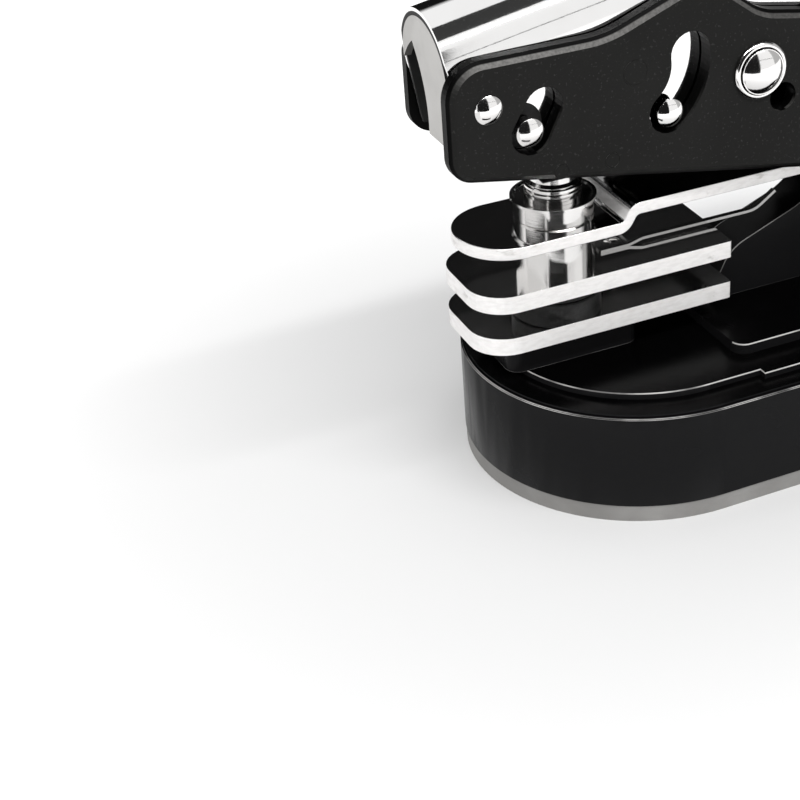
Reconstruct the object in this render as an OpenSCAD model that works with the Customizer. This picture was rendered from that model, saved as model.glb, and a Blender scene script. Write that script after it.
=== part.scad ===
// Desk seal embosser: a lever press with two chrome die bars on a long, round-ended base.
// +X runs from the nose to the tail, +Z is up, and Y = 0 is the middle plane.
// The origin lies on the table, straight under the plunger's axis.

/* [Base] */
// Half of the base's width, and the radius of its round ends
base_r = 38.2; // [37:0.1:42]
// Distance between the centres of the base's two round ends
base_run = 74; // [70:1:110]
// Thickness of the grey sole under the base
sole_t = 3.8; // [2.5:0.1:4.5]
// Height of the base's ledge above the table
ledge_z = 25.5; // [23:0.5:26]
// How far the raised deck is set in from the base's edge
deck_inset = 6.7; // [5:0.1:8]
// Thickness of the column's foot
foot_t = 2.5; // [2:0.1:3]

/* [Head] */
// Distance between the inner faces of the side plates
head_gap = 24.6; // [24.4:0.1:26]
// Thickness of each side plate
plate_t = 3.5; // [3:0.1:4.5]
// Thickness of the column's front web
web_t = 10; // [8:0.5:12]
// Bevel along the outer edges of the side plates
plate_bevel = 1.4; // [0.8:0.1:1.8]

/* [Handle] */
// Outer width of the chrome handle
handle_w = 23.8; // [23:0.1:23.8]
// Wall of the chrome handle
handle_wall = 1.5; // [1.2:0.1:1.7]
// Rise of the handle towards its tail when it is closed
handle_tilt = 10; // [9:0.5:11]
// Length of the handle along its own line
handle_len = 196; // [170:1:220]

/* [Pins] */
// Radius of the pins that ride in the plates' slots
pin_r = 2.1; // [1.8:0.1:2.2]
// Radius of a small pin's domed head
head_r = 2.9; // [2.6:0.05:3.4]
// Radius of the main pivot
pivot_r = 4; // [3.5:0.1:4.2]
// Running clearance of a pin in its hole
fit = 0.05; // [0.02:0.01:0.1]

/* [Plunger] */
// Radius of the plunger's screw
screw_r = 6; // [5.5:0.1:6.2]
// Radius of the plunger's upper stem
stem_r = 4.9; // [4.5:0.1:5]
// Radius of the collar and of the foot under it
collar_r = 8.3; // [8:0.1:8.6]
// Depth of the screw's grooves
groove_d = 0.45; // [0.3:0.05:0.5]

/* [Die bars] */
// Width of each die bar
bar_w = 24.8; // [23:0.2:26]
// Thickness of each die bar
bar_t = 3.8; // [3.5:0.1:4]
// Height of the space between the bars
bar_gap = 5.7; // [5.4:0.1:6]
// Radius of each blank die
die_r = 9.5; // [8:0.1:10.5]
// Space left between the dies for the paper
paper_gap = 0.3; // [0.3:0.05:0.5]

/* [Hidden] */
$fn = 64;
eps = 0.01;

// ---- Places, as [x, z] ----
p_front = [-20.2, 89.0];   // front pivot: the handle turns on it
p_drive = [-12.1, 82.9];   // drive pin, carried by the handle
p_arm = [18.0, 80.5];      // pin at the end of the return arms
p_main = [38.4, 85.1];     // main pivot: the press beam turns on it
c_arm = [10.6, 90.2];      // shaft of the return arms
p_spare = [44.0, 78.4];    // plain hole beside the main pivot

near_nose = -26.8;         // where each plate's outer face begins
far_nose = -23.7;

handle_open = 32;          // the handle's full swing
arm_ratio = 1.8125;        // turn of the return arms for each degree of the handle

in_y = head_gap / 2;
out_y = in_y + plate_t;

// ---- Heights ----
deck_z = ledge_z + 1.5;
foot_z = deck_z + foot_t;
low_bar_z = 33.6;
low_top = low_bar_z + bar_t;
up_bar_z = low_top + bar_gap;
up_top = up_bar_z + bar_t;
yoke_z = up_top + 7;
yoke_t = 2.7;
yoke_step = 3.6;
collar_z = yoke_z + yoke_t;
collar_h = 4.6;
stem_z = collar_z + collar_h + 3.8;
guide_z = 67;
guide_h = 5.2;
guide_sink = 2.2;
cap_z = 76.2;
cap_h = 1.7;
cap_flange = 0.9;
cap_seat = 0.4;
beam_gap = 0.1;
stroke = 3.85;

// ---- Lengths ----
base_cx = base_r - 19.2;
base_cx2 = base_cx + base_run;
bar_nose = -22;
bar_tail = 35.2;
yoke_half = 11;
column_x = 66;
foot_x = 29.4;
foot_half = 25.2;

// ---------------------------------------------------------------- helpers

// Extrudes an [x, z] outline along Y, from y0 over a thickness t.
module xz(t, y0) translate([0, y0 + t, 0]) rotate([90, 0, 0]) linear_extrude(t) children();

// The same outline on both sides of the middle plane, from y0 outwards.
module both(t, y0) {
    xz(t, y0) children();
    xz(t, -y0 - t) children();
}

// A round bar along Y through [x, z], between y0 and y1.
module bar_y(p, r, y0, y1) translate([p[0], y0, p[1]]) rotate([-90, 0, 0]) cylinder(r = r, h = y1 - y0);

// The round cap of a rivet, standing on z = 0.
module dome(r, h) {
    big = (r * r + h * h) / (2 * h);
    rotate_extrude() intersection() {
        translate([0, h - big]) circle(big, $fn = 96);
        square([r, h]);
    }
}

// Domes that face outwards at both ends of a pin through [x, z].
module end_domes(p, y, r, h) for (s = [-1, 1])
    translate([p[0], s * y, p[1]]) rotate([-90 * s, 0, 0]) dome(r, h);

function unit(v) = v / norm(v);

// Points of the arc of radius r that rounds corner p between its neighbours a and b.
function corner(a, p, b, r, n) =
    let (u = unit(a - p), v = unit(b - p), half = acos(u * v) / 2,
         c = p + unit(u + v) * r / sin(half),
         s = p + u * r / tan(half) - c, e = p + v * r / tan(half) - c,
         a0 = atan2(s[1], s[0]), raw = atan2(e[1], e[0]) - a0,
         sweep = raw > 180 ? raw - 360 : raw < -180 ? raw + 360 : raw)
    [for (i = [0:n]) c + r * [cos(a0 + sweep * i / n), sin(a0 + sweep * i / n)]];

// An outline whose corners, given as [x, y, radius], are rounded.
function rounded(q, n = 8) = [for (i = [0:len(q) - 1])
    let (p = q[i], a = q[(i + len(q) - 1) % len(q)], b = q[(i + 1) % len(q)])
    each p[2] > 0 ? corner([a[0], a[1]], [p[0], p[1]], [b[0], b[1]], p[2], n) : [[p[0], p[1]]]];

// A closed outline moved inwards by d, or outwards where d is negative.
function moved_in(q, d) = [for (i = [0:len(q) - 1])
    let (n = len(q), a = unit(q[i] - q[(i + n - 1) % n]), b = unit(q[(i + 1) % n] - q[i]), m = unit(a + b))
    q[i] + d / (m * a) * [m[1], -m[0]]];

// An outline with the base's two round ends, set in by d.
module stadium(d) {
    for (x = [base_cx, base_cx2]) translate([x, 0]) circle(base_r - d, $fn = 128);
    translate([base_cx, d - base_r]) square([base_run, 2 * (base_r - d)]);
}

function on_arc(c, r, a) = c + r * [cos(a), sin(a)];

// A straight slot between two round ends of different radius.
module slot(a, b, ra, rb, n = 12) {
    d = b - a;
    dir = atan2(d[1], d[0]);
    side = acos((ra - rb) / norm(d));
    polygon([for (i = [0:n]) on_arc(b, rb, dir - side + 2 * side * i / n),
        for (i = [0:n]) on_arc(a, ra, dir + side + (360 - 2 * side) * i / n)]);
}

// A slot of half width w with round ends, whose middle follows the points q.
module path_slot(q, w, n = 12) {
    last = len(q) - 1;
    way = [for (i = [0:last]) unit(q[min(i + 1, last)] - q[max(i - 1, 0)])];
    head = atan2(way[last][1], way[last][0]);
    tail = atan2(way[0][1], way[0][0]);
    polygon([for (i = [0:last]) q[i] + w * [-way[i][1], way[i][0]],
        for (i = [1:n - 1]) on_arc(q[last], w, head + 90 - 180 * i / n),
        for (i = [last:-1:0]) q[i] - w * [-way[i][1], way[i][0]],
        for (i = [1:n - 1]) on_arc(q[0], w, tail - 90 - 180 * i / n)]);
}

// The same along an arc of radius r about c.
module arc_slot(c, r, a0, a1, w, n = 16)
    path_slot([for (i = [0:n]) on_arc(c, r, a0 + (a1 - a0) * i / n)], w);

function turned(v, a) = [v[0] * cos(a) - v[1] * sin(a), v[0] * sin(a) + v[1] * cos(a)];

// Where a fixed or moving point p lies in the closed handle's frame after the handle opens by a.
function in_handle(p, a) = p_front + turned(p - p_front, -a);
function arm_tip(a) = c_arm + turned(p_arm - c_arm, a * arm_ratio);

// ---------------------------------------------------------------- base

module base_casting() color("#101011") {
    wall = 4;
    hollow_z = ledge_z - 5;
    difference() {
        union() {
            translate([0, 0, sole_t]) linear_extrude(ledge_z - sole_t - 0.8) stadium(0);
            // small round along the top edge
            translate([0, 0, ledge_z - 0.8]) linear_extrude(0.4) stadium(0.25);
            translate([0, 0, ledge_z - 0.4]) linear_extrude(0.4) stadium(0.7);
            // raised deck, a step wider behind the column's foot
            intersection() {
                translate([0, 0, ledge_z - 1]) linear_extrude(2.5) stadium(deck_inset);
                translate([-60, -60, 0]) cube([60 + 31, 120, 60]);
            }
            intersection() {
                translate([0, 0, ledge_z - 1]) linear_extrude(2.5) stadium(deck_inset - 1.8);
                translate([31, -60, 0]) cube([200, 120, 60]);
            }
        }
        // hollow underside with two cross ribs
        difference() {
            translate([0, 0, sole_t - eps]) linear_extrude(hollow_z - sole_t) stadium(wall);
            for (x = [25, 86]) translate([x, -60, 0]) cube([wall, 120, 60]);
            for (p = screw_places) translate([p[0], p[1], 0]) cylinder(r = 5, h = 60);
        }
        for (p = screw_places) translate([p[0], p[1], sole_t - eps]) cylinder(r = 1.5 + fit, h = 12);
        for (p = foot_places) translate([p[0], p[1], hollow_z - 1]) cylinder(r = 2 + fit, h = 20);
    }
}

screw_places = [[2, 0], [base_cx2 + 22, 0], [57, -27], [57, 27]];
foot_places = [[60, -17], [60, 17], [104, -17], [104, 17]];

module sole_pad() color("#98948f") difference() {
    linear_extrude(sole_t) stadium(0.2);
    for (p = screw_places) translate([p[0], p[1], -eps]) {
        cylinder(r = 1.5 + fit, h = sole_t + 1);
        cylinder(r = 3.3, h = 1.9);
    }
}

module sole_screws() color("#7c7c7c") for (p = screw_places) translate([p[0], p[1], 0.4]) difference() {
    union() {
        cylinder(r = 3, h = 1.4);
        cylinder(r = 1.5, h = 12);
    }
    translate([0, 0, -eps]) cylinder(r = 1.1, h = 0.9, $fn = 6);
}

module column_outline() polygon(rounded([
    [column_x, foot_z, 0], [column_x, 84, 6], [96, 80, 6], [100, foot_z, 0]]));

// The web in front of the column: a low toe that sweeps up and back under the throat.
module web_outline() polygon(rounded([
    [34, foot_z, 0], [39.5, 40.6, 9], [57, 47.4, 14], [column_x + 1, 56.5, 0],
    [column_x + 1, foot_z, 0]]));

module column_casting() color("#0e0e0f") difference() {
    union() {
        translate([0, 0, deck_z]) linear_extrude(foot_t) polygon(rounded([
            [foot_x, -foot_half, 3], [112, -foot_half, 9], [112, foot_half, 9], [foot_x, foot_half, 3]]));
        xz(head_gap, -in_y) column_outline();
        xz(web_t, -web_t / 2) web_outline();
    }
    // guide for the yoke's tail
    translate([column_x - 1, -yoke_half - 0.15, yoke_z + yoke_step - 0.3])
        cube([13, 2 * yoke_half + 0.3, yoke_t + stroke + 0.6]);
    for (p = foot_places) translate([p[0], p[1], deck_z - eps]) {
        cylinder(r = 2 + fit, h = 10);
        translate([0, 0, foot_t - 1.6]) cylinder(r = 4, h = 3);
    }
    for (p = bolt_places) bar_y(p, 3 + fit, -20, 20);
}

bolt_places = [[75, 74.5], [89, 73], [75, 41], [91, 41]];

module foot_screws() color("#202020") for (p = foot_places) translate([p[0], p[1], foot_z]) difference() {
    union() {
        translate([0, 0, -1.6]) cylinder(r = 3.6, h = 1.4);
        translate([0, 0, -10]) cylinder(r = 2, h = 9);
    }
    translate([0, 0, -1.4]) cylinder(r = 1.4, h = 2, $fn = 6);
}

module anvil_block() color("#131314") difference() {
    translate([0, 0, deck_z]) linear_extrude(low_bar_z - deck_z) polygon(rounded([
        [-15, -9, 3], [15, -9, 3], [15, 9, 3], [-15, 9, 3]]));
    for (x = dowel_x) translate([x, 0, deck_z - eps]) cylinder(r = 2 + fit, h = 20);
}

dowel_x = [-12, 12];

module anvil_dowels() color("#8b8b8b")
    for (x = dowel_x) translate([x, 0, deck_z + 0.4]) cylinder(r = 2, h = low_top - deck_z - 1);

// ---------------------------------------------------------------- die bars

module bar_outline() polygon(rounded([
    [bar_nose, -bar_w / 2, 8], [bar_tail, -bar_w / 2, 0.6],
    [bar_tail, bar_w / 2, 0.6], [bar_nose, bar_w / 2, 8]]));

module lower_die_bar() color("#dcd9d7") difference() {
    translate([0, 0, low_bar_z]) linear_extrude(bar_t) bar_outline();
    for (x = dowel_x) translate([x, 0, low_bar_z - eps]) cylinder(r = 2 + fit, h = bar_t - 0.5);
}

die_h = (bar_gap - paper_gap) / 2;

// A blank die: a disc with a low rim round a bare field.
module die_blank(r, h) rotate_extrude() polygon([[0, 0], [r, 0], [r, h - 0.3], [r - 0.3, h], [r - 1.3, h],
    [r - 1.5, h - 0.25], [0, h - 0.25]]);

module lower_die() color("#1b1b1c") translate([0, 0, low_top]) die_blank(die_r, die_h);

module upper_die() color("#1b1b1c") translate([0, 0, up_bar_z]) mirror([0, 0, 1]) die_blank(die_r, die_h);

module upper_die_bar() color("#dcd9d7") difference() {
    translate([0, 0, up_bar_z]) linear_extrude(bar_t) bar_outline();
    translate([0, 0, up_bar_z - eps]) cylinder(r = 2 + fit, h = bar_t + 1);
    translate([0, 0, up_bar_z - eps]) cylinder(r = 3.8, h = 1.6);
    translate([leaf_rivet_x, 0, up_bar_z + 1]) cylinder(r = 1.2 + fit, h = bar_t);
}

module die_bar_screw() color("#8b8b8b") translate([0, 0, up_bar_z + 0.2]) {
    cylinder(r = 3.6, h = 1.2);
    cylinder(r = 2, h = 8.5);
}

leaf_rivet_x = 13;
leaf_t = 0.6;
leaf_half = 4;
leaf_tongue = 1.2;
leaf_rise = 0.8;

// Thin leaf riveted to the bar's top: it steps up, and its tail curls away from the bar.
module die_bar_leaf() color("#d2cfcd") difference() {
    xz(2 * leaf_half, -leaf_half) {
        polygon(rounded([
            [collar_r + 0.4, up_top, 0], [15.4, up_top, 2], [18.6, up_top + leaf_rise, 2],
            [46, up_top + leaf_rise, 6], [51, up_top + 4.2, 0], [50.6, up_top + 4.7, 0],
            [45.7, up_top + leaf_rise + leaf_t, 5.4], [18.4, up_top + leaf_rise + leaf_t, 2.6],
            [15.2, up_top + leaf_t, 1.4], [collar_r + 0.4, up_top + leaf_t, 0]]));
    }
    translate([leaf_rivet_x, 0, up_top - 1]) cylinder(r = 1.2 + fit, h = 4);
    // past the rivet only a narrow tongue goes on
    translate([leaf_rivet_x + 2.7, leaf_tongue - leaf_half, up_top - 1]) cube([50, 2 * leaf_half, 10]);
}

module leaf_rivet() color("#d2cfcd") translate([leaf_rivet_x, 0, up_bar_z + 1.3]) {
    cylinder(r = 1.2, h = bar_t + leaf_t - 1.3 + eps);
    translate([0, 0, bar_t + leaf_t - 1.3]) dome(1.9, 0.5);
}

// ---------------------------------------------------------------- plunger

// Screw below, plain stem above, with square grooves where it shows over the collar.
module plunger_screw() color("#cfcccb") {
    groove_pitch = 1.25;
    difference() {
        union() {
            translate([0, 0, up_top + 3]) cylinder(r = screw_r, h = stem_z - up_top - 4);
            translate([0, 0, stem_z - 1]) cylinder(r1 = screw_r, r2 = stem_r, h = 1);
            translate([0, 0, stem_z - eps]) cylinder(r = stem_r, h = cap_z + cap_seat + eps - stem_z);
        }
        for (i = [0:2]) translate([0, 0, collar_z + collar_h + 0.5 + i * groove_pitch]) rotate_extrude()
            translate([screw_r - groove_d, 0]) square([2, groove_pitch / 2]);
        translate([0, 0, up_top]) cylinder(r = 2 + fit, h = 6);
    }
}

// Flange that holds the spring, with a button on top that the tilting beam rolls over.
module plunger_cap() color("#8f8d8b") difference() {
    union() {
        translate([0, 0, cap_z]) cylinder(r = 7.4, h = cap_flange);
        translate([0, 0, cap_z + cap_flange]) dome(4, cap_h - cap_flange);
    }
    translate([0, 0, cap_z - eps]) cylinder(r = stem_r + fit, h = cap_seat + eps);
}

// Coils of the spring that lifts the plunger, closed flat at both ends.
module lift_spring() color("#a9a7a5") translate([0, 0, guide_z + guide_h + 0.05]) {
    wire = 0.6;
    coils = 4;
    gap_h = cap_z - guide_z - guide_h - 0.1;
    rotate_extrude() intersection() {
        union() {
            for (i = [0:coils - 1]) translate([6.4, wire + i * (gap_h - 2 * wire) / (coils - 1)]) circle(wire);
            translate([6.2, 0]) square([0.4, gap_h]);
        }
        square([10, gap_h]);
    }
}

module collar_nut() color("#d8d5d3") translate([0, 0, collar_z]) difference() {
    rotate_extrude() polygon([[screw_r + fit, 0], [collar_r - 0.4, 0], [collar_r, 0.4],
        [collar_r, collar_h - 0.9], [collar_r + 0.6, collar_h - 0.6], [collar_r + 0.6, collar_h],
        [collar_r - 0.1, collar_h], [collar_r - 0.4, collar_h - 0.3], [screw_r + fit, collar_h - 0.3]]);
}

// Flat yoke round the plunger: it steps up behind the foot and its tail slides in the column.
module guide_yoke() color("#dddad8") difference() {
    intersection() {
        xz(2 * yoke_half, -yoke_half) polygon(rounded([
            [-yoke_half - 11, yoke_z, 0], [11.4, yoke_z, 4], [13.6, yoke_z + yoke_step, 1.2],
            [column_x + 10, yoke_z + yoke_step, 0], [column_x + 10, yoke_z + yoke_step + yoke_t, 0],
            [12.4, yoke_z + yoke_step + yoke_t, 3.6], [10.4, yoke_z + yoke_t, 1.2],
            [-yoke_half - 11, yoke_z + yoke_t, 0]]));
        translate([0, 0, yoke_z - 1]) linear_extrude(10) union() {
            translate([-11, 0]) circle(yoke_half);
            translate([-11, -yoke_half]) square([column_x + 30, 2 * yoke_half]);
        }
    }
    translate([0, 0, yoke_z - 1]) cylinder(r = screw_r + fit, h = 10);
}

module plunger_foot() color("#d8d5d3") translate([0, 0, up_top]) difference() {
    cylinder(r = collar_r, h = yoke_z - up_top);
    translate([0, 0, 3 - fit]) cylinder(r = screw_r + fit, h = 10);
    translate([0, 0, -eps]) cylinder(r = 2 + fit, h = 10);
}

// ---------------------------------------------------------------- head

// Outline of a plate's outer face: nose, crown over the arms, and the leg that stands on the foot.
function plate_face(nose) = rounded([
    [nose, 76.6, 4], [nose, 97, 6], [5, 97, 24], [26, 104.8, 10], [38.5, 95.6, 14], [62, 91.5, 30],
    [97, 85, 9], [102.5, foot_z + plate_bevel, 0], [69.5, foot_z + plate_bevel, 0], [67.4, 47.5, 14],
    [53.6, 62, 12]], 12);

// The plate lies on z = 0 with its bevelled face on top. The bevel is a ring of sloping blocks
// round a core of the same height.
module bevelled_plate(nose) {
    face = plate_face(nose);
    whole = moved_in(face, -plate_bevel);
    n = len(face);
    linear_extrude(plate_t - plate_bevel + eps) polygon(whole);
    linear_extrude(plate_t) polygon(moved_in(face, 0.8));
    translate([0, 0, plate_t - plate_bevel]) polyhedron(
        [for (q = whole) [q[0], q[1], 0], for (q = face) [q[0], q[1], plate_bevel],
            for (h = [plate_bevel, 0], q = moved_in(face, 1.6)) [q[0], q[1], h]],
        [for (k = [0:3], i = [0:n - 1]) let (j = (i + 1) % n, m = (k + 1) % 4)
            [k * n + i, k * n + j, m * n + j, m * n + i]]);
}

module plate_holes() {
    slot([-11.6, 82.3], [-8.8, 87.2], 4.2, 4);
    arc_slot(c_arm, norm(p_arm - c_arm), -52.7, 7.5, 4.3);
    translate(p_front) circle(pin_r + fit);
    translate(p_main) circle(pivot_r + fit);
    translate(p_spare) circle(3);
    translate(c_arm) circle(2.5 + fit);
    for (p = rivet_places) translate(p) circle(1.5 + fit);
    for (p = bolt_places) translate(p) circle(3 + fit);
}

rivet_places = [[-5.5, guide_z + 6.2], [5.5, guide_z + 6.2]];

module near_side_plate() color("#232323") difference() {
    translate([0, -in_y, 0]) rotate([90, 0, 0]) bevelled_plate(near_nose);
    xz(60, -30) plate_holes();
}

module far_side_plate() color("#232323") difference() {
    mirror([0, 1, 0]) translate([0, -in_y, 0]) rotate([90, 0, 0]) bevelled_plate(far_nose);
    xz(60, -30) plate_holes();
}

// Bridge between the plates: it guides the stem and is held by flush rivets at its raised ends.
module guide_block() color("#2a2a2a") difference() {
    union() {
        translate([-8, -in_y, guide_z]) cube([16, 2 * in_y, guide_h]);
        for (s = [-1, 1]) translate([-8, s > 0 ? 8.6 : -in_y, guide_z]) cube([16, in_y - 8.6, 9]);
    }
    translate([0, 0, guide_z - 1]) cylinder(r = stem_r + fit, h = 12);
    // the screw rises into this recess
    translate([0, 0, guide_z - 1]) cylinder(r = screw_r + 0.4, h = guide_sink + 1);
    for (p = rivet_places) bar_y(p, 1.5 + fit, -20, 20);
}

module guide_rivets() color("#232323") for (p = rivet_places, s = [-1, 1])
    bar_y(p, 1.5, s > 0 ? 8.8 : -out_y, s > 0 ? out_y : -8.8);

module plate_bolts() color("#c4c1bf") for (p = bolt_places) {
    bar_y(p, 3, -out_y - eps, out_y + 4.4);
    translate([p[0], -out_y, p[1]]) rotate([90, 0, 0]) dome(5.6, 3);
}

module plate_nuts() color("#bdbab8") for (p = bolt_places) translate([p[0], out_y, p[1]]) rotate([-90, 0, 0])
    difference() {
        cylinder(r = 5.8, h = 4, $fn = 6);
        translate([0, 0, -1]) cylinder(r = 3 + fit, h = 6);
    }

module front_pivot_pin() color("#d9d6d4") {
    bar_y(p_front, pin_r, -out_y - eps, out_y + eps);
    end_domes(p_front, out_y, head_r, 2);
}

module main_pivot_pin() color("#d9d6d4") {
    bar_y(p_main, pivot_r, -out_y - 1.2, out_y + 1.2);
    end_domes(p_main, out_y + 1.1, 4.8, 3.1);
}

module main_pivot_washers() color("#d9d6d4") for (s = [-1, 1])
    translate([p_main[0], s * out_y, p_main[1]]) rotate([-90 * s, 0, 0]) rotate_extrude()
        polygon([[pivot_r + fit, 0], [5.9, 0], [5.9, 0.5], [5.4, 1], [pivot_r + fit, 1]]);

// The return arms' shaft, flush with the plates' outer faces.
module arm_shaft() color("#232323") bar_y(c_arm, 2.5, -out_y, out_y);

// ---------------------------------------------------------------- handle

handle_r = handle_w / 2;
nose_u = -4.6;
ridge_w = 16.6;

// Places its children along the handle's own line: u from the front pivot, w square to it.
module along_handle() translate([p_front[0], 0, p_front[1]]) rotate([0, -handle_tilt, 0]) children();

// The handle's section, round on top and open below, swept along its line.
module handle_section(r, u0, len) along_handle() translate([u0, 0, 0]) rotate([90, 0, 90])
    linear_extrude(len) {
        translate([0, ridge_w - handle_r]) circle(r, $fn = 128);
        translate([-r, -60]) square([2 * r, 60 + ridge_w - handle_r]);
    }

ridge_rise = tan(handle_tilt);
function ridge_z(x) = p_front[1] + ridge_w / cos(handle_tilt) + (x - p_front[0]) * ridge_rise;
handle_tail_x = p_front[0] + (nose_u + handle_len) * cos(handle_tilt);

// Side view of the handle: deep cheeks round the pins, a shallower grip behind them.
module handle_side() polygon(rounded([
    [9, 77.6, 4], [14.4, 68.9, 3.5], [25, 68.9, 4], [31, 92.6, 6],
    [60, ridge_z(60) - 23, 40], [handle_tail_x, ridge_z(handle_tail_x) - 21, 0],
    [handle_tail_x + 10, 160, 0], nose_at(160), nose_at(77.6)]));

// The nose's end leans forwards a little. This is its place at height z.
function nose_at(z, back = 0) = [-25.4 - (z - 78) * 0.05 + back, z, 0];

module handle_shell() color("#e4e1df") difference() {
    intersection() {
        handle_section(handle_r, nose_u, handle_len);
        xz(40, -20) handle_side();
    }
    handle_section(handle_r - handle_wall, nose_u - 1, handle_len + 2);
    xz(60, -30) {
        translate(p_front) circle(pin_r + fit);
        translate(p_drive) circle(4.5);
        // cam slot: the path of the arms' pin as the handle opens
        path_slot([for (a = [0:8:handle_open]) in_handle(arm_tip(a), a)], pin_r + 0.45);
        // clearance for the arms' shaft, open at the cheek's lower edge
        arc_slot(p_front, norm(c_arm - p_front), -36, 2.3, 3);
    }
}

cap_t = 1.5;

// Flat cap in the nose, with a pointed opening beside the far wall.
module handle_nose_cap() color("#b4b0ad") difference() {
    intersection() {
        handle_section(handle_r - handle_wall - fit, nose_u - 8, 20);
        xz(60, -30) polygon([for (q = [nose_at(79.2), nose_at(160), nose_at(160, cap_t), nose_at(79.2, cap_t)])
            [q[0], q[1]]]);
    }
    translate([-60, 0, 0]) rotate([90, 0, 90]) linear_extrude(60) nose_opening();
    bar_y(p_front, pin_r + 0.4, -30, 30);
}

// Two arcs meet in the opening's tip, and the far one runs out into the wall.
module nose_opening() intersection() {
    translate([22.8, 84]) circle(22, $fn = 128);
    translate([-5.8, 80]) circle(20.2, $fn = 128);
    translate([-10, 70]) square([40, 60]);
}

module handle_tail_cap() color("#161616") along_handle() translate([nose_u + handle_len - 9, 0, 0])
    rotate([90, 0, 90]) linear_extrude(9) intersection() {
        union() {
            translate([0, ridge_w - handle_r]) circle(handle_r - handle_wall - fit, $fn = 128);
            translate([-handle_r + handle_wall + fit, -20])
                square([2 * (handle_r - handle_wall - fit), 20 + ridge_w - handle_r]);
        }
        translate([-20, ridge_w - 18]) square([40, 40]);
    }

module drive_pin() color("#d9d6d4") {
    bar_y(p_drive, pin_r, -out_y - 0.4, out_y + 0.4);
    end_domes(p_drive, out_y + 0.35, head_r, 2);
}

module drive_pin_bushes() color("#141414") for (s = [-1, 1]) difference() {
    bar_y(p_drive, 4.5 - fit, s > 0 ? 7.4 : -in_y + 0.3, s > 0 ? in_y - 0.3 : -7.4);
    bar_y(p_drive, pin_r + fit, -20, 20);
}

// ---------------------------------------------------------------- press beam

beam_half = 6;

// Side view of the beam: nose under the drive pin, crown over the plunger, dip under the arms' pin.
module beam_side() {
    seat_z = p_drive[1] - pin_r - 0.15;
    sole_z = cap_z + cap_h + beam_gap;
    polygon(rounded([
        [-13.2, 77.2, 1], [-13.8, seat_z, 1], [-8.4, seat_z, 0.8], [-6, sole_z + 8, 2.5],
        [2.6, sole_z + 8, 3], [6, sole_z + 3, 2], [14.4, sole_z + 3, 2], [15.2, 77.3, 1], [24, 77.3, 3],
        [30, 88, 5], [38.4, 92, 4], [45, 88, 4], [46, 81, 4], [38, 75, 5], [28, 70.6, 4], [10.4, 71, 1.5],
        [9.4, sole_z, 1], [-9.2, sole_z, 1], [-10.4, 75, 1]]));
    translate(p_main) circle(8);
}

module press_beam() color("#1d1d1e") difference() {
    union() {
        xz(2 * beam_half, -beam_half) beam_side();
        bar_y(p_main, 6.4, -in_y + 0.3, in_y - 0.3);
    }
    bar_y(p_main, pivot_r + 1.2, -20, 20);
}

module beam_bush() color("#a8843c") difference() {
    bar_y(p_main, pivot_r + 1.2 - fit, -in_y + 0.3, in_y - 0.3);
    bar_y(p_main, pivot_r + fit, -20, 20);
}

// ---------------------------------------------------------------- return arms

arm_y = 6.6;
arm_t = 2.4;

module return_arms() color("#303031") {
    both(arm_t, arm_y) difference() {
        slot(c_arm, p_arm, 4.6, 3.8);
        translate(c_arm) circle(2.5 + fit);
        translate(p_arm) circle(pin_r + fit);
    }
    // sleeve that joins the two arms over the shaft
    difference() {
        bar_y(c_arm, 3.3, -arm_y - eps, arm_y + eps);
        bar_y(c_arm, 2.5 + fit, -20, 20);
    }
}

module arm_pin() color("#d9d6d4") {
    bar_y(p_arm, pin_r, -out_y - 0.4, out_y + 0.4);
    end_domes(p_arm, out_y + 0.35, head_r, 2);
}

// Wound spring over the arms' sleeve.
module arm_spring() color("#a9a7a5") translate([c_arm[0], -5.6, c_arm[1]]) rotate([-90, 0, 0]) {
    wire = 0.7;
    turns = 8;
    rotate_extrude() {
        for (i = [0:turns - 1]) translate([4.2, wire + i * (11.2 - 2 * wire) / (turns - 1)]) circle(wire);
        translate([3.8, wire]) square([0.5, 11.2 - 2 * wire]);
    }
}

base_casting();
sole_pad();
sole_screws();
column_casting();
foot_screws();
anvil_block();
anvil_dowels();
lower_die_bar();
lower_die();
near_side_plate();
far_side_plate();
guide_block();
guide_rivets();
plate_bolts();
plate_nuts();
front_pivot_pin();
main_pivot_pin();
main_pivot_washers();
arm_shaft();
handle_shell();
handle_nose_cap();
handle_tail_cap();
drive_pin();
drive_pin_bushes();
press_beam();
beam_bush();
return_arms();
arm_pin();
arm_spring();
plunger_screw();
plunger_cap();
lift_spring();
collar_nut();
guide_yoke();
plunger_foot();
upper_die_bar();
die_bar_leaf();
leaf_rivet();
die_bar_screw();
upper_die();
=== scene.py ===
import bpy
import bmesh
import math
import numpy as np
from mathutils import Matrix, Vector


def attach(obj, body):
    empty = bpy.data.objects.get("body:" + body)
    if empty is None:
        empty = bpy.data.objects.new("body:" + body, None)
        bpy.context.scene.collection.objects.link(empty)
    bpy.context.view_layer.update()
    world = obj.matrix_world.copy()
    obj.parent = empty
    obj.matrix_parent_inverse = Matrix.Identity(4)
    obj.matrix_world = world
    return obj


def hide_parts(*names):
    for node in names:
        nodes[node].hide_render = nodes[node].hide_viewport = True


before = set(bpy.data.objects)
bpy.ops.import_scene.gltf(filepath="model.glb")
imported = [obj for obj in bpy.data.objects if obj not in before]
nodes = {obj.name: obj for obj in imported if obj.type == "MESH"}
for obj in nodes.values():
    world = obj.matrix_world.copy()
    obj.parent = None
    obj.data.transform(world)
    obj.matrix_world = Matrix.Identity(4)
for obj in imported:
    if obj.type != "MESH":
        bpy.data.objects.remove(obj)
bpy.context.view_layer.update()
print("frame loaded:", len(nodes), "nodes")


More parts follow.
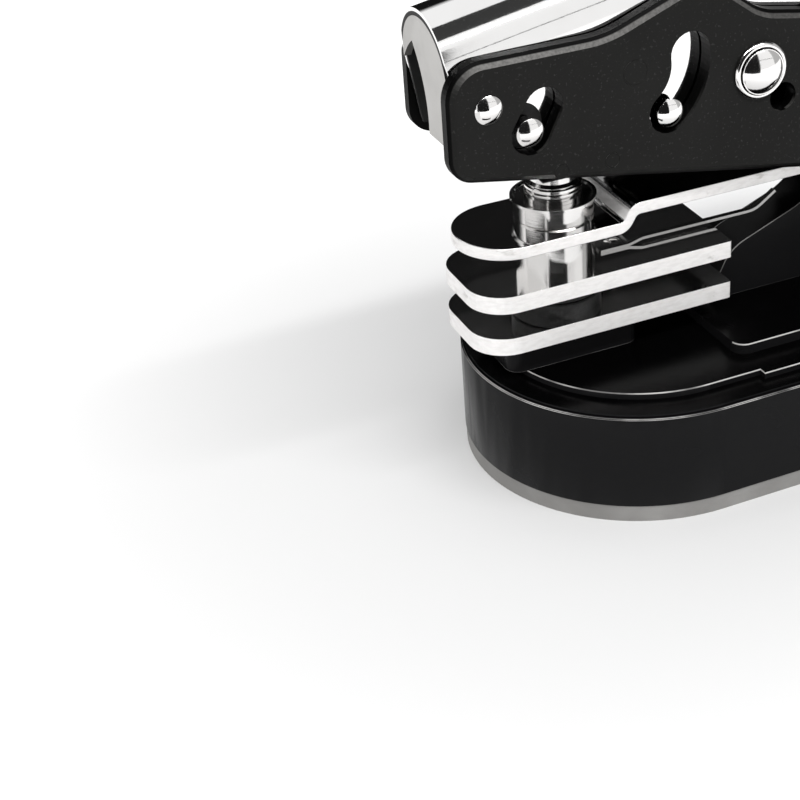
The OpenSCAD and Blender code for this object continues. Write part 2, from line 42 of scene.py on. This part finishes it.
# The low and the high corner of a node's box, in millimetres to a hundredth.
def box(name):
    vertices = nodes[name].data.vertices
    points = np.empty((len(vertices), 3), dtype=np.float32)
    vertices.foreach_get("co", points.ravel())
    corners = np.array([points.min(axis=0), points.max(axis=0)], dtype=float)
    return (corners * 1000).round(2)


# The middle of a node's box as (x, z), which for a pin or a washer is its axis.
def middle(name):
    return box(name).mean(axis=0)[[0, 2]]


# Where the camera stands in metres, which way its right and its top point, and its lens.
camera = {
    "place": (-0.14583, -0.30542, 0.22008),
    "right": (0.9028, -0.4284, -0.0370),
    "up": (0.2532, 0.4600, 0.8511),
    "lens": 82.26,
    "sensor": 36.0,
    "shift": -0.15,
    "clip": (0.01, 50),
}


def makeCamera(c):
    cam = bpy.data.cameras.new("camera")
    cam.lens, cam.sensor_width, cam.shift_x = c["lens"], c["sensor"], c["shift"]
    cam.clip_start, cam.clip_end = c["clip"]
    right, up = Vector(c["right"]).normalized(), Vector(c["up"]).normalized()
    turn = Matrix((right, up, right.cross(up))).transposed().to_4x4()
    obj = bpy.data.objects.new("camera", cam)
    obj.matrix_world = Matrix.Translation(c["place"]) @ turn
    bpy.context.collection.objects.link(obj)
    bpy.context.scene.camera = obj


makeCamera(camera)


# A socket that can be used in sums: each operator adds its Math node.
class Wire:

    def __init__(self, tree, socket):
        self.tree, self.socket = tree, socket

    def math(self, kind, *others):
        return node(self.tree, "ShaderNodeMath", {"operation": kind}, [self, *others])

    def __add__(self, other):
        return self.math("ADD", other)

    __radd__ = __add__

    def __mul__(self, other):
        return self.math("MULTIPLY", other)

    __rmul__ = __mul__

    def __sub__(self, other):
        return self.math("SUBTRACT", other)

    def __rsub__(self, other):
        return node(self.tree, "ShaderNodeMath", {"operation": "SUBTRACT"}, [other, self])

    def __pow__(self, other):
        return self.math("POWER", other)

    def clamp(self):
        return node(self.tree, "ShaderNodeClamp", {}, {"Value": self, "Min": 0.0, "Max": 1.0})


# Adds a node: its settings first, then a value or a link for each socket.
def node(tree, kind, settings, values, out=0):
    n = tree.nodes.new(kind)
    for key, value in settings.items():
        setattr(n, key, value)
    pairs = values.items() if isinstance(values, dict) else enumerate(values)
    for key, value in pairs:
        if isinstance(value, Wire):
            tree.links.new(value.socket, n.inputs[key])
        elif value is not None:
            n.inputs[key].default_value = value
    return Wire(tree, n.outputs[out]) if len(n.outputs) else None


# A material, its empty tree and the piece's own coordinates in metres.
def newMaterial(name):
    m = bpy.data.materials.new(name)
    m.use_nodes = True
    t = m.node_tree
    t.nodes.clear()
    return m, t, node(t, "ShaderNodeTexCoord", {}, [], "Object")


def split(t, vector):
    return [node(t, "ShaderNodeSeparateXYZ", {}, [vector], axis) for axis in range(3)]


# How far the surface faces along an axis of the piece: -1 to 1. "True Normal" is the bare face's.
def facing(t, axis, kind="Normal"):
    normal = node(t, "ShaderNodeNewGeometry", {}, [], kind)
    return node(t, "ShaderNodeSeparateXYZ", {}, [normal], axis)


# Noise from 0 to 1 over the piece, with its cells 1/scale metres across.
def grain(t, place, scale, detail=3.0, rough=0.5, stretch=None):
    if stretch:
        place = node(t, "ShaderNodeMapping", {}, {"Vector": place, "Scale": stretch})
    return node(t, "ShaderNodeTexNoise", {"noise_dimensions": "3D"},
                {"Vector": place, "Scale": scale, "Detail": detail, "Roughness": rough}, "Fac")


# Stretches value from low..high to toLow..toHigh, smoothly and clamped.
def band(t, value, low, high, toLow=0.0, toHigh=1.0):
    return node(t, "ShaderNodeMapRange", {"interpolation_type": "SMOOTHSTEP", "clamp": True},
                {"Value": value, "From Min": low, "From Max": high,
                 "To Min": toLow, "To Max": toHigh})


# 1 where value is from low to high and 0 elsewhere, with both edges 2 * soft wide.
def between(t, value, low, high, soft):
    return band(t, value, low - soft, low + soft) * band(t, value, high + soft, high - soft)


# Colour a where mask is 0 and b where it is 1. Mix has its colours at inputs 6 and 7, output 2.
def blendColour(t, mask, a, b):
    a, b = (c if isinstance(c, Wire) else (*c, 1) for c in (a, b))
    return node(t, "ShaderNodeMix", {"data_type": "RGBA"}, {0: mask, 6: a, 7: b}, 2)


# The closing shader. bumps are (height, strength, distance), laid one over another.
def surface(t, values, bumps):
    normal = None
    for height, strength, distance in bumps:
        normal = node(t, "ShaderNodeBump", {}, {"Height": height, "Strength": strength,
                                                "Distance": distance, "Normal": normal})
    shader = node(t, "ShaderNodeBsdfPrincipled", {}, {**values, "Normal": normal})
    node(t, "ShaderNodeOutputMaterial", {}, {"Surface": shader})


# flat and side are painted shade and light: the tops coloured darker and the sides lighter, as the
# light falls. edge is the colour of the painted highlight lines. cloud, speck, peel and patch are
# noise scales. Each height is the low and high end of a level painted highlight line, in metres, and
# webHighlightLine is the inner and outer |y| of the web's painted highlight line, and where it
# begins.
enamel = {
    "flat": (0.0010, 0.0010, 0.0011), "side": (0.0085, 0.0085, 0.0090),
    "dust": (0.020, 0.0195, 0.019), "dusty": 0.05,
    "edge": (0.80, 0.785, 0.77), "soft": 0.00008, "webHighlight": 0.35,
    "gloss": 0.20, "satin": 0.28, "specular": 0.07,
    "cloud": 28, "speck": 1500, "peel": 260, "patch": 90,
}
baseHighlightHeights = [(0.02458, 0.02486), (0.02668, 0.027)]
footHighlightHeights = [(0.02916, 0.02948)]
webHighlightLine = (0.0047, 0.0050, 0.0299)


# Stoved black enamel with faint dust, patchy between gloss and satin. Painted shade and light: its
# flats are coloured darker and its sides lighter. Painted highlights: its edges are coloured bright
# in thin lines, level ones over each pair of heights, and one along the web's top.
def blackEnamel(name, e, heights, web=None):
    m, t, place = newMaterial(name)
    y, z = split(t, place)[1:]
    up = facing(t, 2, "True Normal")
    peel = grain(t, place, e["peel"], 2.0)
    cloud = grain(t, place, e["cloud"], 4.0, 0.6)
    speck = band(t, grain(t, place, e["speck"], 1.0), 0.66, 0.74)
    settled = band(t, cloud, 0.42, 0.75) * band(t, up, 0.5, 1.0)
    dust = (settled * e["dusty"] + speck * e["dusty"]).clamp()
    # Painted shade and light: the tops take the dark flat colour, the sides the lighter side colour.
    coat = blendColour(t, band(t, up, 0.85, 0.25), e["flat"], e["side"])
    # Painted highlights: thin bright lines of the edge colour over each pair of heights and the
    # web's top.
    brightened = 0.0
    for low, high in heights:
        brightened = brightened + between(t, z, low, high, e["soft"]) * band(t, up, 0.85, 0.75)
    if web:
        inner, outer, foot = web
        along = between(t, y.math("ABSOLUTE"), inner, outer, e["soft"])
        sloping = band(t, z, foot, foot + 0.0005) * band(t, up, 0.15, 0.3)
        sideways = band(t, facing(t, 1, "True Normal").math("ABSOLUTE"), 0.1, 0.3)
        brightened = along * sloping * e["webHighlight"] + brightened * sideways
    brightened = brightened * band(t, grain(t, place, e["patch"], 3.0), 0.35, 0.6, 0.25, 1.0)
    dusty = blendColour(t, dust, coat, e["dust"])
    surface(t, {
        "Base Color": blendColour(t, brightened.clamp(), dusty, e["edge"]),
        "Roughness": band(t, cloud, 0.3, 0.7, e["gloss"], e["satin"]),
        "Specular IOR Level": e["specular"],
    }, [(peel, 0.05, 0.0006), (speck, 0.08, 0.0001)])
    return m


# fine and cloud are noise scales. edge is the painted shade of the slot walls and inner faces. The
# bevel's painted highlight starts at |y| bevelEdge, and thins out over the two x of nose and the two
# of tail, and inside each slot's (middle, radius).
plateCoat = {
    "colour": (0.0120, 0.0120, 0.0115), "grain": (0.033, 0.033, 0.032),
    "edge": (0.0015, 0.0015, 0.0015), "bevelHighlight": (0.19, 0.186, 0.18),
    "fine": 1400, "cloud": 40, "rough": (0.34, 0.44), "specular": 0.05,
    "bevelEdge": 0.0150, "nose": (-0.0268, -0.0215), "tail": (0.062, -0.018), "least": (0.3, 0.25),
    "slots": [((-0.0101, 0, 0.0858), 0.0085), ((0.020, 0, 0.0863), 0.0115)],
}


# Satin black coat on stamped steel: a fine grain and faint lighter pits. Painted highlight: the
# upper bevel is coloured light on its half next to the face, less so round the nose and in the
# slots.
# Painted shade: the slot walls and the faces inside the outer face are coloured near black.
def blackPlate(name, e):
    m, t, place = newMaterial(name)
    x, y, z = split(t, place)
    fine = grain(t, place, e["fine"], 2.0, 0.7)
    cloud = grain(t, place, e["cloud"], 4.0)
    mottle = band(t, fine, 0.60, 0.72) * 0.9 + band(t, cloud, 0.3, 0.8) * 0.18
    face = blendColour(t, mottle.clamp(), e["colour"], e["grain"])
    up = facing(t, 2)
    edgeY, soft = e["bevelEdge"], 0.0001
    nearFace = band(t, y.math("ABSOLUTE"), edgeY - soft, edgeY + soft)
    # Painted highlight on the upper bevel, next to the outer face.
    brightened = band(t, up, 0.15, 0.7) * band(t, up, 0.97, 0.90) * nearFace
    for ends, least in zip((e["nose"], e["tail"]), e["least"]):
        brightened = brightened * band(t, x, *ends, least, 1.0)
    brightened = brightened * band(t, fine, 0.25, 0.7, 0.55, 1.0)
    level = node(t, "ShaderNodeCombineXYZ", {}, [x, 0.0, z])
    for middle, radius in e["slots"]:
        away = node(t, "ShaderNodeVectorMath", {"operation": "DISTANCE"}, [level, middle], "Value")
        brightened = brightened * band(t, away, radius - 0.0005, radius + 0.0005, 0.25, 1.0)
    # Painted shade: the slot walls and the faces inside the outer face take the near-black edge
    # colour.
    wall = band(t, facing(t, 1).math("ABSOLUTE"), 0.60, 0.35) + (1.0 - nearFace)
    coat = blendColour(t, wall.clamp(), face, e["edge"])
    surface(t, {
        "Base Color": blendColour(t, brightened, coat, e["bevelHighlight"]),
        "Roughness": band(t, cloud, 0.25, 0.75, *e["rough"]),
        "Specular IOR Level": e["specular"],
    }, [(fine, 0.16, 0.00012)])
    return m


# drawn, handled, grit and spot are noise scales, and the polishes are roughnesses.
chrome = {
    "colour": (0.88, 0.875, 0.87), "film": (0.80, 0.79, 0.78),
    "ground": (0.95, 0.935, 0.925), "stain": (0.50, 0.48, 0.46),
    "drawn": 60, "handled": 22, "grit": 420, "spot": 120,
    "barPolish": (0.05, 0.11), "hoodPolish": (0.035, 0.09),
}


# What all chrome has: fine drawing lines along the piece, and a faint film of handling.
def drawnChrome(t, place, e):
    lines = grain(t, place, e["drawn"], 3.0, 0.7, (1, 40, 40))
    film = grain(t, place, e["handled"], 5.0, 0.62)
    colour = blendColour(t, band(t, film, 0.48, 0.72) * 0.6, e["colour"], e["film"])
    return (lines, 0.012, 0.0002), film, colour


# Chrome on the flats, and a satin ground finish round the sides: n_z tells which is which.
def barChrome(name, e):
    m, t, place = newMaterial(name)
    drawn, film, flat = drawnChrome(t, place, e)
    ground = grain(t, place, e["grit"], 4.0, 0.6, (1, 1, 3))
    stain = band(t, grain(t, place, e["spot"], 4.0, 0.7, (1, 1, 2)), 0.60, 0.74)
    side = band(t, facing(t, 2).math("ABSOLUTE"), 0.80, 0.55)
    stained = (stain * 0.55 + band(t, ground, 0.35, 0.7) * 0.2).clamp()
    satin = blendColour(t, stained, e["ground"], e["stain"])
    surface(t, {
        "Base Color": blendColour(t, side, flat, satin),
        "Metallic": 1.0 - side * 0.75,
        "Roughness": band(t, film, 0.35, 0.75, *e["barPolish"]) + side * 0.34,
    }, [drawn, (ground, 0.05, 0.0001)])
    return m


# The hood's section in metres: its hinge (x, z), its tilt in degrees, how far the middle of its
# round part lies over the hinge, and that part's inner radius.
shell = {
    "pivot": middle("front_pivot_pin") / 1000, "tilt": 10, "middle": 0.0047, "inner": 0.0112,
    "raw": (0.012, 0.012, 0.012), "specular": 0.2,
}


# Bright chrome outside, and painted shade inside: the hollow and the faces turned down are coloured
# near black and not metallic. Inside is where the distance from the handle's middle line is under
# its wall, or below the round part, where |y| is.
def shellChrome(name, e, s):
    m, t, place = newMaterial(name)
    drawn, film, bright = drawnChrome(t, place, e)
    x, y, z = split(t, place)
    tilt = math.radians(s["tilt"])
    across = (z - s["pivot"][1]) * math.cos(tilt) - (x - s["pivot"][0]) * math.sin(tilt)
    above = (across - s["middle"]).math("MAXIMUM", 0.0)
    away = (y * y + above * above) ** 0.5
    hollow = band(t, away, s["inner"] + 0.0001, s["inner"] - 0.0001)
    # Painted shade: faces turned down count as inside too.
    inside = (hollow + band(t, facing(t, 2), -0.8, -0.9)).clamp()
    surface(t, {
        "Base Color": blendColour(t, inside, bright, s["raw"]),
        "Metallic": 1.0 - inside,
        "Roughness": band(t, film, 0.35, 0.75, *e["hoodPolish"]) + inside * 0.5,
        "Specular IOR Level": s["specular"],
    }, [drawn])
    return m


# Turned or ground steel: close lines, and patches of a darker tone at random.
def groundSteel(name, colour, rough, drawn=(60, 60, 1), mark=0.05):
    m, t, place = newMaterial(name)
    lines = grain(t, place, 120, 2.0, 0.6, drawn)
    cloud = grain(t, place, 90, 4.0)
    dark = tuple(c * 0.72 for c in colour)
    surface(t, {
        "Base Color": blendColour(t, band(t, cloud, 0.5, 0.8) * 0.5, colour, dark),
        "Metallic": 1.0,
        "Roughness": band(t, cloud, 0.3, 0.7, rough, rough + 0.08),
    }, [(lines, mark, 0.0002)])
    return m


sole = {
    "colour": (0.235, 0.23, 0.222), "brightened": (0.30, 0.295, 0.286),
    "cloud": 55, "fine": 1600, "rough": (0.55, 0.70), "specular": 0.3,
}


# Moulded grey rubber: soft mottling and a fine matt bloom.
def greySole(name, e):
    m, t, place = newMaterial(name)
    cloud = grain(t, place, e["cloud"], 4.0, 0.6)
    surface(t, {
        "Base Color": blendColour(t, band(t, cloud, 0.35, 0.7), e["colour"], e["brightened"]),
        "Roughness": band(t, cloud, 0.3, 0.7, *e["rough"]),
        "Specular IOR Level": e["specular"],
    }, [(grain(t, place, e["fine"], 2.0), 0.12, 0.0002)])
    return m


plastic = {
    "colour": (0.010, 0.010, 0.010), "grain": (0.022, 0.022, 0.022),
    "fine": 900, "rough": (0.45, 0.60), "specular": 0.3,
}


# Black moulded plastic with a spark-eroded grain.
def mouldedBlack(name, e):
    m, t, place = newMaterial(name)
    fine = grain(t, place, e["fine"], 3.0, 0.6)
    surface(t, {
        "Base Color": blendColour(t, band(t, fine, 0.4, 0.7), e["colour"], e["grain"]),
        "Roughness": band(t, fine, 0.3, 0.7, *e["rough"]),
        "Specular IOR Level": e["specular"],
    }, [(fine, 0.25, 0.0002)])
    return m


finish = {
    "blackEnamel": blackEnamel("blackEnamel", enamel, baseHighlightHeights),
    "webEnamel": blackEnamel("webEnamel", enamel, footHighlightHeights, webHighlightLine),
    "blackPlate": blackPlate("blackPlate", plateCoat),
    "shellChrome": shellChrome("shellChrome", chrome, shell),
    "barChrome": barChrome("barChrome", chrome),
    "turnedSteel": groundSteel("turnedSteel", (0.84, 0.83, 0.82), 0.07, (1, 1, 60)),
    "pinSteel": groundSteel("pinSteel", (0.87, 0.86, 0.85), 0.045, (40, 1, 40), 0.02),
    "capSteel": groundSteel("capSteel", (0.40, 0.392, 0.38), 0.30, (1, 1, 1), 0.10),
    "leafSteel": groundSteel("leafSteel", (0.40, 0.395, 0.39), 0.14),
    "springSteel": groundSteel("springSteel", (0.50, 0.50, 0.50), 0.22),
    "bushBrass": groundSteel("bushBrass", (0.62, 0.43, 0.17), 0.22),
    "greySole": greySole("greySole", sole),
    "mouldedBlack": mouldedBlack("mouldedBlack", plastic),
}

wears = {
    "blackEnamel": ["base_casting", "anvil_block"],
    "webEnamel": ["column_casting"],
    "blackPlate": ["near_side_plate", "far_side_plate", "guide_block", "guide_rivets", "arm_shaft",
                   "press_beam", "return_arms", "foot_screws"],
    "shellChrome": ["handle_shell"],
    "barChrome": ["lower_die_bar", "upper_die_bar", "guide_yoke"],
    "leafSteel": ["die_bar_leaf"],
    "turnedSteel": ["collar_nut", "plunger_foot", "plunger_screw"],
    "pinSteel": ["front_pivot_pin", "main_pivot_pin", "main_pivot_washers", "drive_pin", "arm_pin",
                 "leaf_rivet", "plate_bolts", "plate_nuts"],
    "capSteel": ["handle_nose_cap"],
    "springSteel": ["lift_spring", "arm_spring", "plunger_cap", "sole_screws", "anvil_dowels",
                    "die_bar_screw"],
    "bushBrass": ["beam_bush"],
    "greySole": ["sole_pad"],
    "mouldedBlack": ["handle_tail_cap", "drive_pin_bushes", "lower_die", "upper_die"],
}
for coat, names in wears.items():
    for name in names:
        slots = nodes[name].material_slots
        if not slots:
            nodes[name].data.materials.append(finish[coat])
        for s in slots:
            s.material = finish[coat]
print("finishes:", len(finish))


# A piece made of lofts: each is (rings, closed), rings an array of m rings of n points in
# millimetres. A closed loft joins its last ring to its first, an open one gets two flat caps.
def lofted(name, lofts, smooth=True):
    points, faces, start = [], [], 0
    for rings, closed in lofts:
        m, n = rings.shape[:2]
        row = np.arange(m if closed else m - 1)[:, None] * n
        k, after, nextRow = np.arange(n), (np.arange(n) + 1) % n, (row + n) % (m * n)
        quads = np.stack([row + k, row + after, nextRow + after, nextRow + k], axis=2)
        faces += (quads.reshape(-1, 4) + start).tolist()
        if not closed:
            faces += [(start + k).tolist(), (start + (m - 1) * n + k).tolist()]
        points.append(rings.reshape(-1, 3))
        start += m * n
    mesh = bpy.data.meshes.new(name)
    mesh.from_pydata((np.concatenate(points) / 1000).tolist(), [], faces)
    shape = bmesh.new()
    shape.from_mesh(mesh)
    bmesh.ops.recalc_face_normals(shape, faces=shape.faces)
    shape.to_mesh(mesh)
    shape.free()
    if smooth:
        mesh.shade_smooth()
    obj = bpy.data.objects.new(name, mesh)
    bpy.context.collection.objects.link(obj)
    return obj


# A turned shape's rings, from a profile of (along, radius) in millimetres:
# point = place + along * y + radius * (cos a * x + sin a * z).
def turned(profile, place, sides=128):
    q = np.array(profile)
    a = np.linspace(0, 2 * np.pi, sides, endpoint=False)
    circle = np.stack([np.cos(a), np.zeros(sides), np.sin(a)], axis=1)
    return (q[:, None, 1, None] * circle + q[:, None, 0, None] * np.array([0, 1, 0])
            + np.array([place[0], 0, place[1]]))


# (node, body, how far its seat stands off the plates, the radii of its shaft and its rim, the rim's
# height, the dome's radius and its rise), in millimetres.
pins = {
    "frontPin": ("front_pivot_pin", "stand", 0.0, 2.1, 2.84, 0.20, 2.84, 1.05),
    "drivePin": ("drive_pin", "handle", 0.35, 2.1, 2.84, 0.20, 2.84, 1.05),
    "armPin": ("arm_pin", "arms", 0.35, 2.1, 2.84, 0.20, 2.84, 1.05),
    "mainPin": ("main_pivot_pin", "stand", 1.1, 4.0, 4.7, 0.30, 4.5, 1.65),
}
plateFace = box("far_side_plate")[1][1]


# One end of a riveted pin, seat outwards: a rim, a fine groove if the rim is wider, and a dome,
# whose height over the groove is sqrt(R^2 - r^2) - (R - rise).
def pinEnd(seat, shaft, edge, rimHeight, dome, rise, steps=20, groove=0.05, tip=0.02):
    big = (dome ** 2 + rise ** 2) / (2 * rise)
    top = seat + rimHeight
    r = dome * np.cos(np.linspace(0, np.pi / 2, steps))
    r[-1] = tip
    arc = np.stack([top - groove + np.sqrt(big ** 2 - r ** 2) - (big - rise), r], axis=1)
    rim = [(seat - 0.02, shaft), (seat, shaft + 0.03), (seat, edge - 0.04), (seat + 0.03, edge),
           (top - 0.07, edge)]
    if edge > dome:
        rim += [(top - 0.02, edge - 0.02), (top, edge - 0.05), (top - groove, edge - 0.09)]
    return np.concatenate([rim, arc])


def stand(piece, coat, body, *stood):
    piece.data.materials.append(finish[coat])
    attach(piece, body)
    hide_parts(*stood)


for name, (stood, body, off, *sizes) in pins.items():
    end = pinEnd(plateFace + off, *sizes)
    rings = turned(np.concatenate([end[::-1] * [-1, 1], end]), middle(stood))
    stand(lofted(name, [(rings, False)]), "pinSteel", body, stood)

# The main pivot's washer as (off the plate, radius) in millimetres: a wall, a chamfer, a rolled lip.
washer = np.array([(0.02, 4.1), (0.02, 5.84), (0.07, 5.9), (0.50, 5.9), (0.58, 5.86), (0.94, 5.42),
                   (0.98, 5.34), (1.0, 5.22), (1.0, 5.0), (0.96, 4.93), (0.8, 4.9), (0.8, 4.1)])
washer += [plateFace, 0]
axis = middle("main_pivot_washers")
rings = [(turned(washer * [side, 1], axis), True) for side in (-1, 1)]
stand(lofted("mainWashers", rings), "pinSteel", "stand", "main_pivot_washers")


# A block of half sizes (x, y) from z low to high with a round bore: each ring follows one height's
# edge, on the bore or on the rectangle, where the reach is min(x / |cos a|, y / |sin a|).
def boredBlock(x, y, low, high, bore, sides=96, chamfer=0.3, least=1e-9):
    corner = math.atan2(y, x)
    corners = [corner, np.pi - corner, np.pi + corner, 2 * np.pi - corner]
    turn = np.linspace(0, 2 * np.pi, sides, endpoint=False)
    a = np.sort(np.concatenate([turn, corners]))
    c, s = np.cos(a), np.sin(a)
    reach = np.minimum(x / np.maximum(abs(c), least), y / np.maximum(abs(s), least))
    steps = [(bore, low), (reach - chamfer, low), (reach, low + chamfer), (reach, high),
             (bore, high)]
    return np.stack([np.stack([r * c, r * s, np.full(len(a), z)], axis=1) for r, z in steps])


# A plain bar from x to x, y to y and z to z: its outline, with cut corners, at each x.
def bar(x, y, z, chamfer=0.3):
    (y0, y1), (z0, z1), c = y, z, chamfer
    outline = np.array([(y0 + c, z0), (y1 - c, z0), (y1, z0 + c), (y1, z1 - c), (y1 - c, z1),
                        (y0 + c, z1), (y0, z1 - c), (y0, z0 + c)])
    return np.stack([np.insert(outline, 0, end, axis=1) for end in x])


# The bridge between the plates: a block from low to high with a bore of that radius, and two cheeks
# from cheekLow to the node's top, which reach inwards by cheek. In millimetres.
guide = {"low": 69.8, "high": 72.2, "bore": 4.95, "cheekLow": 70.2, "cheek": 3.7}
x, y, top = box("guide_block")[1]
sides = [(-y, guide["cheek"] - y), (y - guide["cheek"], y)]
cheeks = [(bar((-x, x), side, (guide["cheekLow"], top)), False) for side in sides]
block = boredBlock(x, y, guide["low"], guide["high"], guide["bore"])
bridge = lofted("guideBridge", [(block, True)] + cheeks, smooth=False)
stand(bridge, "blackPlate", "stand", "guide_block")
print("turned and lofted pieces:", len(pins) + 2)


# Joins the node's loose triangles and rounds its sharp edges, as paint and tumbling do.
def softenEdges(name, width, segments=2, angle=35, joined=2e-6):
    obj = nodes[name]
    weld = obj.modifiers.new("weld", "WELD")
    weld.merge_threshold = joined
    bevel = obj.modifiers.new("round", "BEVEL")
    bevel.width, bevel.segments = width, segments
    bevel.limit_method, bevel.angle_limit = "ANGLE", math.radians(angle)
    bevel.harden_normals = True
    bevel.use_clamp_overlap = True


# The width of each rounding in metres.
softened = {
    "near_side_plate": 0.00025, "far_side_plate": 0.00025, "upper_die_bar": 0.0003,
    "lower_die_bar": 0.0003, "guide_yoke": 0.0003, "base_casting": 0.0005,
    "column_casting": 0.0004,
}
for name, width in softened.items():
    softenEdges(name, width)
print("edges softened:", len(softened))


# The floor glows by fill, from its first value to its second over the distances of reach: a glow
# that only the camera and the metal see, weaker near the part, so painted shade darkens the floor
# round it.
studio = {
    "floor": (0.76, 0.76, 0.76), "floorHalf": 6.0, "sky": 0.85,
    "fill": (0.04, 0.50), "reach": (0.06, 0.26),
}


# 1 for the rays that show the backdrop, straight or in metal, and 0 for those that light the part.
def showing(t):
    kinds = ["Is Camera Ray", "Is Glossy Ray", "Is Transmission Ray"]
    straight, glossy, through = (node(t, "ShaderNodeLightPath", {}, [], kind) for kind in kinds)
    return (straight + glossy + through).clamp()


def glowing(t, strength):
    return node(t, "ShaderNodeEmission", {}, {"Color": (1, 1, 1, 1), "Strength": strength})


# A flat sheet of the studio.
def makeSheet(name, corners, material):
    mesh = bpy.data.meshes.new(name)
    mesh.from_pydata(corners, [], [(0, 1, 2, 3)])
    mesh.materials.append(material)
    sheet = bpy.data.objects.new(name, mesh)
    bpy.context.collection.objects.link(sheet)
    return sheet


# The corners of a level sheet, and of an upright one over the line from a to b.
def level(x0, y0, x1, y1, z):
    return [(x0, y0, z), (x1, y0, z), (x1, y1, z), (x0, y1, z)]


def upright(a, b, low, high):
    return [(*a, low), (*b, low), (*b, high), (*a, high)]


def makeFloor(s):
    m, t, place = newMaterial("floorPaper")
    paper = node(t, "ShaderNodeBsdfDiffuse", {}, {"Color": (*s["floor"], 1)})
    away = node(t, "ShaderNodeVectorMath", {"operation": "LENGTH"}, [place], "Value")
    # Painted shade: the glow fades in with distance, so the floor stays darker near the part.
    fill = band(t, away, *s["reach"], *s["fill"])
    both = node(t, "ShaderNodeAddShader", {}, [paper, glowing(t, showing(t) * fill)])
    node(t, "ShaderNodeOutputMaterial", {}, {"Surface": both})
    w = s["floorHalf"]
    floor = makeSheet("floor", level(-w, -w, w, w, 0), m)


# A card that only the metal sees. fade is (low z, high z, grey at the high one).
def makeFlag(name, corners, grey, fade=None):
    m, t, place = newMaterial(name)
    if fade:
        low, high, topGrey = fade
        grey = band(t, split(t, place)[2], low, high, grey, topGrey)
    node(t, "ShaderNodeOutputMaterial", {}, {"Surface": glowing(t, grey)})
    flag = makeSheet(name, corners, m)
    flag.visible_camera = flag.visible_diffuse = flag.visible_shadow = False
    flag.visible_transmission = flag.visible_volume_scatter = False


def makeWorld(s):
    world = bpy.data.worlds.new("studio")
    bpy.context.scene.world = world
    world.use_nodes = True
    t = world.node_tree
    t.nodes.clear()
    strength = showing(t) * (1.0 - s["sky"]) + s["sky"]
    shade = node(t, "ShaderNodeBackground", {}, {"Color": (1, 1, 1, 1), "Strength": strength})
    node(t, "ShaderNodeOutputWorld", {}, {"Surface": shade})


# A softbox: its place and target, its size in metres and its power in watts.
keyLamp = {"place": (0.02, -0.57, 0.98), "target": (0.02, 0, 0.05), "size": (1.3, 0.06), "power": 7}


def makeLamp(name, k):
    lamp = bpy.data.lights.new(name, "AREA")
    lamp.shape, lamp.energy = "RECTANGLE", k["power"]
    lamp.size, lamp.size_y = k["size"]
    obj = bpy.data.objects.new(name, lamp)
    obj.location = k["place"]
    towards = Vector(k["target"]) - Vector(k["place"])
    obj.rotation_euler = towards.to_track_quat("-Z", "Y").to_euler()
    bpy.context.collection.objects.link(obj)


# The dark bands and bright panels that the chrome and the pins' domes show.
flags = {
    "ceilingFlag": (level(-3, -0.48, 3, 0.04, 1.1), 0.045),  # the hood's dark stripe
    "backFlag": (upright((-5, 2.0), (5, 2.0), 0.003, 1.85), 0.008, (1.28, 1.85, 0.8)),
    "backFloor": (level(-0.015, 0.055, 3, 2.0, 0.002), 0.02),  # the bars' dark flats
    "horizonFlag": (upright((-5, -2.0), (5, -2.0), 1.06, 1.11), 0.03),  # the hood's thin line
    "sideFlag": (upright((-1.53, -1.29), (-1.83, 0.81), 0.002, 1.9), 0.012),
    "nearCard": (upright((-0.050, -0.060), (-0.050, 0.015), 0.030, 0.079), 0.9),
    "rightFlag": (upright((2.0, -1.2), (2.0, 0.9), 0.003, 2.6), 0.50),  # the domes' grey side
    "frontFlag": (upright((0.07, -0.41), (-0.31, -0.305), 0.003, 0.52), 0.012),  # their dark one
    "nearFlag": (upright((-0.038, -0.052), (0.0, -0.052), 0.027, 0.044), 0.01),
}

makeFloor(studio)
makeWorld(studio)
for name, how in flags.items():
    makeFlag(name, *how)
makeLamp("keyLamp", keyLamp)
print("studio set")

view = bpy.context.scene.view_settings
view.view_transform = "Standard"
